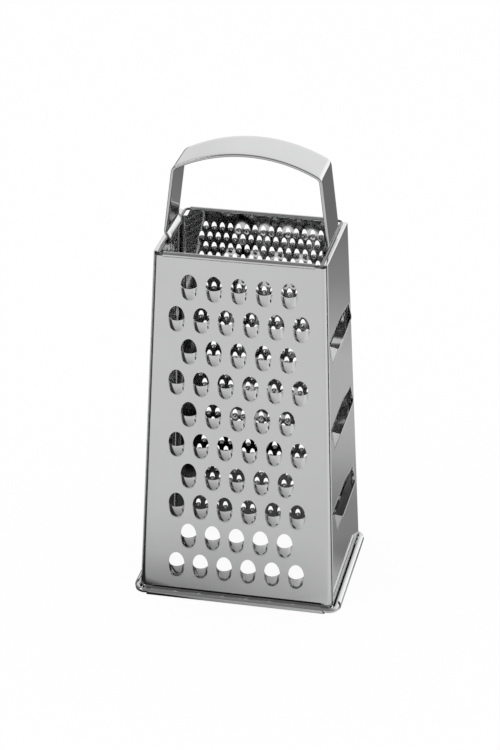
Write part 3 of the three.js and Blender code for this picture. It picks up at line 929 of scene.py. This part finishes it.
@dataclass(frozen=True)
class ToothedPanel(Panel):
    """A panel with a field of teeth or prickles in its flat face.

    Attributes:
        field: the field.
        least_rim: the shortest way from the field to the rim's end that gets columns, in margins.
        bend_steps: steps round an upright edge's bend.
        lap_steps: steps along a lap.
        rows_below: rows of the plain strip below the field.
        rows_above: rows of the plain strip above it.
    """

    field: Field
    least_rim: float = 0.2
    bend_steps: int = 8
    lap_steps: int = 2
    rows_below: int = 4
    rows_above: int = 3

    def margin(self, right: bool) -> tuple[Array, int, int]:
        """Columns of the plain margin beside the field, as parts of the way to the flat face's edge.

        Args:
            right: whether this is the right margin.

        Returns:
            The parts, and the numbers of the columns where the rim and the bottom hem end.
        """
        (base, base_flat), (rim, rim_flat) = (
            (self.side_at(v, right), self.flat_half(v * math.cos(self.lean), right)) for v in self.span
        )
        base_end = 1 - (BODY.base_hem_setback + self.extra(right)) / (base_flat - base)
        if not self.laps:
            return np.array([0, base_end / 3, base_end * 2 / 3, base_end, 1]), 4, 3
        rim_end = (BODY.top_ring_half_width - BODY.top_corner - BODY.top_hem_setback - rim) / (rim_flat - rim)
        if rim_end < self.least_rim:
            return np.array([0, 0.3, 0.6, base_end, 1]), 0, 3
        return np.array([0, rim_end / 2, rim_end, base_end, 1]), 2, 3

    def side_at(self, v: Any, right: bool) -> Any:
        """How far out the field's right or left side is, at v."""
        return abs(self.field.sides[int(right)]) * self.field.stretch(v)

    def edge(self, v: Array, right: bool) -> Array:
        """A margin, and on the front and back its bend and lap, at each v.

        The bend is a quarter circle and the lap is straight. Past the bottom hem's end the sheet's lower edge
        lifts a little more with each column. Past the rim's end its upper edge drops by a notch for the wire.

        Args:
            v: distances up the face.
            right: whether this is the right margin. The left one is mirrored, with its columns turned round.

        Returns:
            A lattice with a row for each v.
        """
        parts, rim_end, base_end = self.margin(right)
        bend = np.linspace(0, math.pi / 2, self.bend_steps + 1)[1:]
        lap = np.linspace(0, BODY.lap_length, self.lap_steps + 1)[1:]
        count = len(parts) + (len(bend) + len(lap) if self.laps else 0)
        column = np.arange(count)
        lift = np.clip(column - base_end, 0, None) * BODY.corner_lift
        notch = BODY.top_notch + (BODY.back_reach if self.side is Side.BACK else 0)
        drop = np.where(column > rim_end, v[-1] - (BODY.height - notch) / math.cos(self.lean), 0)
        first_row, last_row = self.field.levels[[0, -1]]
        below = np.clip((first_row - v) / (first_row - v[0]), 0, 1)[:, None]
        above = np.clip((v - last_row) / (v[-1] - last_row), 0, 1)[:, None]
        z = (v[:, None] + lift * below - drop * above) * math.cos(self.lean)
        flat, depth = self.flat_half(z, right), self.reach(z)
        start = self.side_at(v, right)[:, None]
        x = start + (flat[:, : len(parts)] - start) * parts
        y = -depth[:, : len(parts)]
        if self.laps:
            rounds, straight = slice(len(parts), len(parts) + len(bend)), slice(len(parts) + len(bend), None)
            radius = BODY.corner_bend
            x = np.column_stack([x, flat[:, rounds] + radius * np.sin(bend), flat[:, straight] + radius])
            around = radius * (1 - np.cos(bend)) - depth[:, rounds]
            y = np.column_stack([y, around, radius + lap - depth[:, straight]])
        lattice = np.stack([x, y, z], axis=-1)
        return lattice if right else lattice[:, ::-1] * (-1, 1, 1)

    def build(self) -> bpy.types.Object:
        """The whole panel: the field, plain strips above and below it, both edges and the hems.

        Returns:
            The panel's object.
        """
        low, high = self.span
        levels, columns = self.field.levels, self.field.columns
        below = np.linspace(low, levels[0], self.rows_below + 1)
        above = np.linspace(levels[-1], high, self.rows_above + 1)
        skins = [self.field.skin().moved(self.matrix)]
        for v in (below[:, None], above[:, None]):
            skins.append(Skin.grid(self.on_face(columns * self.field.stretch(v), v + 0 * columns)))
        heights = np.concatenate([below[:-1], levels, above[1:]])
        right, left = self.edge(heights, True), self.edge(heights, False)
        _, rim_right, base_right = self.margin(True)
        _, rim_left, base_left = self.margin(False)
        last = left.shape[1] - 1
        base, rim = columns * self.field.stretch(low), columns * self.field.stretch(high)
        base_u = [left[0, last - base_left : last, 0], base, right[0, 1 : base_right + 1, 0]]
        rim_u = [left[-1, last - rim_left : last, 0], rim, right[-1, 1 : rim_right + 1, 0]]
        skins += [Skin.grid(right), Skin.grid(left)]
        skins += [self.base_hem(np.concatenate(base_u)), self.top_hem(np.concatenate(rim_u))]
        return self.dress(Skin.joined(skins), self.field.cell.rise)


@dataclass(frozen=True)
class SlicerPanel(Panel):
    """The slicing side: wide slots, each with a pressed lip below it that ends in three-cornered webs.

    Attributes:
        cuts: how far up the panel each slot's cut is.
        half: half a cut's length.
        gap: how far the slot opens above the cut.
        drop: how far below the cut the lip's free edge lies.
        lip: how far below the cut its foot lies.
        heel: half the foot's length.
        front_crest: where the free edge's level part starts, along the panel.
        back_crest: where it ends.
        rise: how far the free edge stands out.
        margin: height of the flat strips above and below a slot and its lip.
        ease: how long the lip's level start is, as a part of its length.
        roundings: how often the foot and the free edge are averaged.
    """

    cuts: tuple[float, ...] = (147.3, 99.5, 51.7)
    half: float = 27.4
    gap: float = 0.3
    drop: float = 4.7
    lip: float = 13.7
    heel: float = 22.0
    front_crest: float = -20.5
    back_crest: float = 18.0
    rise: float = 3.1
    margin: float = 4.0
    across: int = 44
    down: int = 12
    lip_rows: int = 12
    rings: int = 3
    end_steps: int = 2
    strip_rows: int = 4
    ease: float = 0.1
    roundings: int = 3

    def edges(self, v: Any) -> tuple[Any, Any]:
        """The u of the flat face's left and right edges, at v."""
        z = v * math.cos(self.lean)
        return -self.flat_half(z, False), self.flat_half(z, True)

    def columns(self) -> Array:
        """Columns as parts of the way from left edge to right, with one at each end of the bottom hem."""
        left, right = self.edges(self.span[0])
        parts = np.linspace(0, 1, self.across + 1)
        parts[1] = (BODY.base_hem_setback + self.extra(False)) / (right - left)
        parts[-2] = 1 - (BODY.base_hem_setback + self.extra(True)) / (right - left)
        return parts

    def row(self, v: Any) -> Array:
        """The u of the columns, at v."""
        left, right = self.edges(v)
        return left + (right - left) * self.columns()

    def outline(self, corners: Array) -> Array:
        """A ring of points through six corners, with the same number of steps between them on every ring.

        Args:
            corners: the right end of the cut, then anticlockwise.

        Returns:
            The points, the first not repeated.
        """
        upper, lower = [self.end_steps, self.across, self.end_steps], [self.down, self.across, self.down]
        at, part = steps_between(np.array(upper + lower))
        level = self.columns()
        part[at == 1] = 1 - level[:0:-1]
        part[at == 4] = level[:-1]
        ends = np.roll(corners, -1, axis=0)
        return corners[at] + part[:, None] * (ends[at] - corners[at])

    def cell(self, cut: float) -> tuple[Skin, float, float]:
        """One slot in its strip of the panel: flat rings from the strip's edges to the slot, and the lip.

        The lip's foot and its free edge, which lies below the cut, are matching runs of points, both rounded
        by averaging neighbours. Points between them go straight, and stand off by the edge's height times the
        ramp.

        Args:
            cut: how far up the panel the cut is.

        Returns:
            The skin before the turn, and the strip's lower and upper v.
        """
        low, high = cut - self.lip - self.margin, cut + self.gap + self.margin
        ends = {v: self.edges(v) for v in (cut, high, low)}
        rim = [(ends[cut][1], cut), (ends[high][1], high), (ends[high][0], high)]
        rim += [(ends[cut][0], cut), (ends[low][0], low), (ends[low][1], low)]
        slot = [(self.half, cut), (self.half, cut + self.gap), (-self.half, cut + self.gap)]
        slot += [(-self.half, cut), (-self.heel, cut - self.lip), (self.heel, cut - self.lip)]
        edge = [(self.half, cut, 0), (self.half, cut, 0), (-self.half, cut, 0)]
        tip = cut - self.drop
        edge += [(-self.half, cut, 0), (self.front_crest, tip, self.rise), (self.back_crest, tip, self.rise)]
        outer, inner = self.outline(np.array(rim)), self.outline(np.array(slot))
        start = 2 * self.end_steps + self.across
        free = np.vstack([self.outline(np.array(edge, float)), [(self.half, cut, 0)]])[start:]
        foot = np.vstack([inner, inner[:1]])[start:]
        for _ in range(self.roundings):
            foot[1:-1] = (foot[:-2] + 2 * foot[1:-1] + foot[2:]) / 4
            free[1:-1] = (free[:-2] + 2 * free[1:-1] + free[2:]) / 4
        inner[start:] = foot[:-1]
        step = np.linspace(0, 1, self.rings + 1)[:, None, None]
        flat = outer + step * (inner - outer)
        flat = np.concatenate([flat, np.zeros_like(flat[..., :1])], axis=-1)
        part = np.linspace(0, 1, self.lip_rows + 1)[:, None]
        level = foot + part[..., None] * (free[:, :2] - foot)
        lip = np.concatenate([level, (free[:, 2] * ramp(part, self.ease))[..., None]], axis=-1)
        skin = Skin.joined([Skin.grid(flat, ring=True), Skin.grid(lip)])
        return skin.moved(self.matrix), low, high

    def build(self) -> bpy.types.Object:
        """The whole panel: the slots' strips, plain strips between them, and the hems.

        Returns:
            The panel's object.
        """
        low, high = self.span
        cells = [self.cell(cut) for cut in self.cuts]
        edges = [high, *(v for _, below, above in cells for v in (above, below)), low]
        skins = [skin for skin, _, _ in cells]
        for above, below in zip(edges[::2], edges[1::2]):
            v = np.linspace(below, above, self.strip_rows + 1)[:, None]
            u = self.row(v)
            skins.append(Skin.grid(self.on_face(u, v + 0 * u)))
        skins += [self.base_hem(self.row(low)[1:-1]), self.top_hem(self.row(high))]
        return self.dress(Skin.joined(skins), self.rise)


@dataclass(frozen=True)
class WireRing:
    """A level ring of round wire with rounded corners."""

    name: str
    half_x: float
    half_y: float
    corner: float
    radius: float
    height: float
    finish: SteelFinish = WIRE_STEEL
    corner_steps: int = 10
    sides: int = 20

    def build(self) -> bpy.types.Object:
        """A circle carried round a rectangle with rounded corners.

        At a corner's middle plus the corner radius along a heading, the wire's section is a circle in the
        plane of that heading and Z.

        Returns:
            The ring's object.
        """
        quarter = np.repeat(np.arange(4), self.corner_steps + 1)
        step = np.tile(np.arange(self.corner_steps + 1), 4) / self.corner_steps
        heading = (quarter + step) * math.pi / 2
        middle_x = np.array([1, -1, -1, 1])[quarter] * (self.half_x - self.corner)
        middle_y = np.array([1, 1, -1, -1])[quarter] * (self.half_y - self.corner)
        around = np.arange(self.sides) / self.sides * 2 * math.pi
        reach = self.corner + self.radius * np.cos(around)
        x = middle_x[:, None] + np.cos(heading)[:, None] * reach
        y = middle_y[:, None] + np.sin(heading)[:, None] * reach
        z = np.broadcast_to(self.height + self.radius * np.sin(around), x.shape)
        lattice = np.stack([x, y, z], axis=-1)
        skin = Skin.joined([Skin.grid(np.concatenate([lattice, lattice[:1]]), ring=True)]).outward()
        return place_piece(skin.mesh(self.name), self.name, [self.finish])


@dataclass(frozen=True)
class StrapHandle:
    """One strap: an arch, two legs, and feet that step in and hook under the top wire."""

    name: str = "strap_handle"
    rise: float = 49.0
    width: float = 26.5
    thickness: float = 1.6
    edge: float = 0.6
    arch_radius: float = 77.0
    corner_radius: float = 3.0
    leg_spread: float = 4.25
    foot_inset: float = 1.85
    step_rise: float = 4.5
    step_fall: float = 0.8
    foot_bend: float = 1.2
    hook_gap: float = 0.25
    hook_sweep: float = 95.0
    arch_margin: float = 3.2
    arch_points: int = 24
    bend_points: int = 9
    hook_points: int = 13
    edge_points: int = 6
    flat_points: int = 7

    def bend(self, before: Array, corner: Array, after: Array, radius: float) -> Array:
        """An arc that rounds a corner between two straight runs.

        The arc's middle lies on the corner's bisector, and the arc leaves and meets both runs smoothly.

        Args:
            before: a point on the run into the corner.
            corner: the corner.
            after: a point on the run out of it.
            radius: the arc's radius.

        Returns:
            Points along the arc.
        """
        into = (before - corner) / np.linalg.norm(before - corner)
        out = (after - corner) / np.linalg.norm(after - corner)
        half = math.acos(float(np.clip(into @ out, -1, 1))) / 2
        middle = corner + (into + out) / np.linalg.norm(into + out) * radius / math.sin(half)
        start, end = (corner + run * radius / math.tan(half) - middle for run in (into, out))
        first = math.atan2(start[1], start[0])
        turn = math.atan2(start[0] * end[1] - start[1] * end[0], float(start @ end))
        angle = first + np.linspace(0, 1, self.bend_points) * turn
        return middle + radius * np.column_stack([np.cos(angle), np.sin(angle)])

    def line(self) -> Array:
        """The strap's middle line in X and Z: a circle's arc, rounded corners, and an arc about the top wire.

        Returns:
            Points from the end of the left hook to the end of the right one.
        """
        half = self.thickness / 2
        foot = BODY.rim_width / 2 - self.foot_inset - half
        arch = self.arch_radius - half
        middle = BODY.height + self.rise - self.arch_radius
        end = math.asin((foot - self.leg_spread) / arch)
        hook = BODY.top_wire + self.hook_gap + half
        wire = np.array([BODY.top_ring_half_width, BODY.top_ring_height])
        angle = np.append(np.linspace(0, end - self.arch_margin / arch, self.arch_points), end)
        top = np.column_stack([arch * np.sin(angle), middle + arch * np.cos(angle)])
        corners = np.array(
            [
                *top[-2:],
                (foot, wire[1] + self.step_rise),
                (wire[0] - hook, wire[1] + self.step_fall),
                (wire[0] - hook, wire[1]),
            ]
        )
        radii = [self.corner_radius + half, self.foot_bend + half, self.foot_bend + half]
        bends = [self.bend(*corners[k : k + 3], radius) for k, radius in enumerate(radii)]
        sweep = np.radians(180 + np.linspace(0, self.hook_sweep, self.hook_points))
        curl = wire + hook * np.column_stack([np.cos(sweep), np.sin(sweep)])
        right = np.concatenate([top[:-1], *bends, curl])
        return np.concatenate([right[:0:-1] * (-1, 1), right])

    def build(self) -> bpy.types.Object:
        """A flat section with rounded edges carried along the middle line, its ends closed on that line.

        Returns:
            The handle's object.
        """
        line = self.line()
        ahead = np.gradient(line, axis=0)
        ahead /= np.linalg.norm(ahead, axis=1, keepdims=True)
        normal = np.column_stack([-ahead[:, 1], ahead[:, 0]])
        quarter = np.linspace(0, math.pi / 2, self.edge_points)
        side, thin = self.width / 2 - self.edge, self.thickness / 2 - self.edge
        arc = np.column_stack([side + self.edge * np.cos(quarter), thin + self.edge * np.sin(quarter)])
        along = np.linspace(side, -side, self.flat_points + 2)[1:-1]
        flat = np.column_stack([along, np.full(self.flat_points, self.thickness / 2)])
        upper = np.concatenate([arc, flat, arc[::-1] * (-1, 1)])
        loop = np.concatenate([upper, upper[::-1] * (1, -1)])
        x = line[:, :1] + normal[:, :1] * loop[:, 1]
        z = line[:, 1:] + normal[:, 1:] * loop[:, 1]
        y = np.broadcast_to(loop[:, 0], x.shape)
        lattice = np.stack([x, y, z], axis=-1)
        level = 0 * loop[:, 0]
        first, last = (np.column_stack([level + x, loop[:, 0], level + z])[None] for x, z in line[[0, -1]])
        lattice = np.concatenate([first, lattice, last])
        skin = Skin.joined([Skin.grid(lattice, ring=True)]).outward()
        return place_piece(skin.mesh(self.name), self.name, [STRAP_STEEL])


def place_piece(
    mesh: bpy.types.Mesh, node: str, finishes: Sequence[SteelFinish]
) -> bpy.types.Object:
    """Puts a mesh in the scene as the piece that stands for a solid.

    Args:
        mesh: the piece's mesh.
        node: the solid's name.
        finishes: the finishes of the mesh's material numbers, in order.

    Returns:
        The piece's object.
    """
    for finish in finishes:
        mesh.materials.append(finish.material())
    piece = bpy.data.objects.new(f"{node}_dressed", mesh)
    bpy.context.scene.collection.objects.link(piece)
    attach(piece, "root")
    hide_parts(node)
    LOG.info("%s: %d points, %d faces", piece.name, len(mesh.vertices), len(mesh.polygons))
    return piece


def stand(data: Any, axes: Sequence[Any]) -> bpy.types.Object:
    """Stands a camera or a lamp in the scene.

    Args:
        data: the camera or lamp.
        axes: its right, up and back directions, and its place.

    Returns:
        The new object.
    """
    thing = bpy.data.objects.new(data.name, data)
    thing.matrix_world = Matrix(np.vstack([np.column_stack(axes), (0, 0, 0, 1)]).tolist())
    bpy.context.scene.collection.objects.link(thing)
    return thing


@dataclass(frozen=True)
class PhotoCamera:
    """The camera of the photograph, fitted to the grater's corners."""

    place: Triple = (0.23055, -1.08494, 0.66170)
    right: Triple = (0.97802, 0.20852, 0.0)
    up: Triple = (-0.09241, 0.43341, 0.89646)
    back: Triple = (0.18693, -0.87675, 0.44315)
    lens: float = 114.79
    sensor: float = 36.0
    far: float = 20.0

    def build(self) -> None:
        """Makes the camera from its place and its three axes."""
        data = bpy.data.cameras.new("photo_camera")
        data.lens = self.lens
        data.sensor_width = self.sensor
        data.clip_end = self.far
        bpy.context.scene.camera = stand(data, [self.right, self.up, self.back, self.place])


@dataclass(frozen=True)
class Studio:
    """A pale floor in a white tent, with a dark screen at the left in reflections. Lengths are metres.

    Attributes:
        floor_half: half the floor's side.
        white: how much of the floor's look to the camera is plain white, the rest keeping its shadows.
        paper: the floor's own grey.
        around: the floor's grey in reflections, by direction: -90 is in front and 0 at the right.
        around_y: the Y that those directions start from.
        behind: what that grey is multiplied by, by distance behind the grater.
        shades: painted contact shadows on the floor, seen only in reflections, deepening its real shadow near
            the grater: points beside the grater, and what the grey is multiplied by, by distance from each.
        backdrop: direction of the brightest part of the tent.
        tent_tones: the tent's brightness in reflections, by the cosine of the angle from there.
        tent_gain: what the tent's tones are multiplied by.
        lamp_place: where the lamp hangs.
        lamp_aim: the point that it faces.
        lamp_side: length of its sides.
        lamp_watts: its power.
    """

    floor_half: float = 3.0
    white: float = 0.95
    paper: float = 0.88
    around: Stops = (
        (-180, 0.05), (-163, 0.05), (-156, 0.72), (-130, 0.79), (-30, 0.79),
        (-15, 0.93), (32, 0.93), (44, 0.55), (50, 0.52), (125, 0.5),
        (149, 0.5), (156, 0.05), (180, 0.05),
    )
    around_y: float = -0.035
    behind: Stops = (
        (0.0, 1.0), (0.27, 1.0), (0.33, 0.77), (0.39, 0.55), (0.5, 0.38),
        (1.0, 0.4),
    )
    shades: Sequence[tuple[Triple, Stops]] = (
        ((-0.05, -0.02, 0.0), ((0.03, 0.6), (0.05, 0.72), (0.07, 0.85), (0.1, 0.93), (0.13, 1.0))),
        ((0.07, 0.05, 0.0), ((0.03, 0.6), (0.06, 0.74), (0.09, 0.92), (0.12, 1.0))),
    )
    backdrop: Triple = (0.476, 0.88, 0.06)
    tent_tones: Stops = (
        (-1.0, 0.16), (0.0, 0.18), (0.35, 0.36), (0.55, 0.58), (0.71, 0.74),
        (0.93, 0.78), (0.965, 0.8), (0.985, 0.95), (1.0, 1.0),
    )
    tent_gain: float = 1.6
    lamp_place: Triple = (-0.95, -0.65, 1.15)
    lamp_aim: Triple = (0.0, 0.0, 0.1)
    lamp_side: float = 0.6
    lamp_watts: float = 3.0

    def build(self) -> None:
        """Builds the floor, the tent and the lamp."""
        bpy.context.scene.view_settings.view_transform = "Standard"
        self.floor()
        self.tent()
        self.lamp()

    def floor(self) -> None:
        """A square floor, white to the camera, whose grey in reflections depends on where it is."""
        s = self.floor_half
        mesh = bpy.data.meshes.new("floor")
        mesh.from_pydata([(-s, -s, 0), (s, -s, 0), (s, s, 0), (-s, s, 0)], [], [(0, 1, 2, 3)])
        floor = bpy.data.objects.new("floor", mesh)
        bpy.context.scene.collection.objects.link(floor)
        material = bpy.data.materials.new("pale_floor")
        material.use_nodes = True
        mesh.materials.append(material)
        tree = Tree(material.node_tree)
        path = tree.add("ShaderNodeLightPath")
        camera, glossy = tree.value(path, "Is Camera Ray"), tree.value(path, "Is Glossy Ray")
        place = tree.add("ShaderNodeTexCoord")
        split = tree.add("ShaderNodeSeparateXYZ", {0: place.outputs["Object"]})
        x, y = tree.value(split, "X"), tree.value(split, "Y")
        turn = (y - self.around_y).math("ARCTAN2", x) * (0.5 / math.pi) + 0.5
        around = [((angle + 180) / 360, grey) for angle, grey in self.around]
        shown = tree.greys(around, turn) * tree.greys(self.behind, y)
        # painted shadow: the floor's grey in reflections is darkened near the grater's base, on top of its
        # real shadow
        for middle, stops in self.shades:
            ends = {0: place.outputs["Object"], 1: middle}
            apart = tree.add("ShaderNodeVectorMath", ends, operation="DISTANCE")
            shown = shown * tree.greys(stops, apart.outputs["Value"])
        grey = self.paper + (shown - self.paper) * glossy
        paper = tree.add("ShaderNodeBsdfDiffuse", {"Color": grey})
        white = tree.add("ShaderNodeEmission", {"Color": (1, 1, 1, 1), "Strength": 1.0})
        seen = {0: camera * self.white, 1: paper.outputs[0], 2: white.outputs[0]}
        tree.add("ShaderNodeOutputMaterial", {0: tree.add("ShaderNodeMixShader", seen).outputs[0]})

    def tent(self) -> None:
        """A white world, which reflections show brightest behind the grater and grey above and in front."""
        world = bpy.data.worlds.new("tent")
        world.use_nodes = True
        tree = Tree(world.node_tree)
        glossy = tree.value(tree.add("ShaderNodeLightPath"), "Is Glossy Ray")
        heading = tree.add("ShaderNodeTexCoord").outputs["Generated"]
        ends = {0: heading, 1: self.backdrop}
        cosine = tree.add("ShaderNodeVectorMath", ends, operation="DOT_PRODUCT")
        stops = [((cosine_at + 1) / 2, tone) for cosine_at, tone in self.tent_tones]
        tone = tree.greys(stops, tree.value(cosine, "Value") * 0.5 + 0.5)
        plain = tree.add("ShaderNodeBackground", {"Color": (1, 1, 1, 1), "Strength": 1.0})
        shaped = tree.add("ShaderNodeBackground", {"Color": tone, "Strength": self.tent_gain})
        seen = {0: glossy, 1: plain.outputs[0], 2: shaped.outputs[0]}
        tree.add("ShaderNodeOutputWorld", {0: tree.add("ShaderNodeMixShader", seen).outputs[0]})
        bpy.context.scene.world = world

    def lamp(self) -> None:
        """A soft square lamp that faces the grater."""
        data = bpy.data.lights.new("key", "AREA")
        data.shape = "RECTANGLE"
        data.size = data.size_y = self.lamp_side
        data.energy = self.lamp_watts
        back = np.array(self.lamp_place) - np.array(self.lamp_aim)
        back /= np.linalg.norm(back)
        right = np.cross((0, 0, 1), back)
        right /= np.linalg.norm(right)
        stand(data, [right, np.cross(back, right), back, self.lamp_place])


COARSE = Tooth(
    width=8.4,
    opening=6.4,
    lip=7.7,
    rise=2.9,
    dip=0.3,
    pitch=12.72,
    row_pitch=17.26,
    across=12,
    up=12,
    rings=3,
    lip_rows=10,
)
FINE = Tooth(
    width=2.8,
    opening=3.1,
    lip=1.7,
    rise=1.2,
    dip=0.2,
    pitch=4.332,
    row_pitch=5.889,
    across=4,
    up=4,
    rings=1,
    lip_rows=2,
)
ZEST = Prickle(width=1.9, mouth=0.9, rise=0.9, pitch=8.46, row_pitch=2.05, across=8, up=2)


def main() -> None:
    """Builds the camera, the studio and the grater's pieces."""
    logging.basicConfig(level=logging.INFO, format="%(name)s: %(message)s")
    PhotoCamera().build()
    Studio().build()
    pieces = [
        ToothedPanel("front_shredder_panel", Side.FRONT, Field(COARSE, 10, 6, 174.5, True)).build(),
        SlicerPanel("right_slicer_panel", Side.RIGHT).build(),
        ToothedPanel("back_fine_panel", Side.BACK, Field(FINE, 30, 15, 182.3, False, 0.00103)).build(),
        ToothedPanel("left_zester_panel", Side.LEFT, Field(ZEST, 81, 6, 177.5, True)).build(),
        WireRing(
            "base_wire_ring",
            Panel("", Side.RIGHT).ring_reach,
            Panel("", Side.FRONT).ring_reach,
            BODY.base_corner,
            BODY.base_wire,
            BODY.base_ring_height,
        ).build(),
        WireRing(
            "top_wire_ring",
            BODY.top_ring_half_width,
            BODY.top_ring_half_depth,
            BODY.top_corner,
            BODY.top_wire,
            BODY.top_ring_height,
            # painted shade: the top wire's colour is darkened for the shade it lies in
            PAINTED_SHADE_WIRE,
        ).build(),
        StrapHandle().build(),
    ]
    LOG.info("%d pieces", len(pieces))


if __name__ == "__main__":
    main()
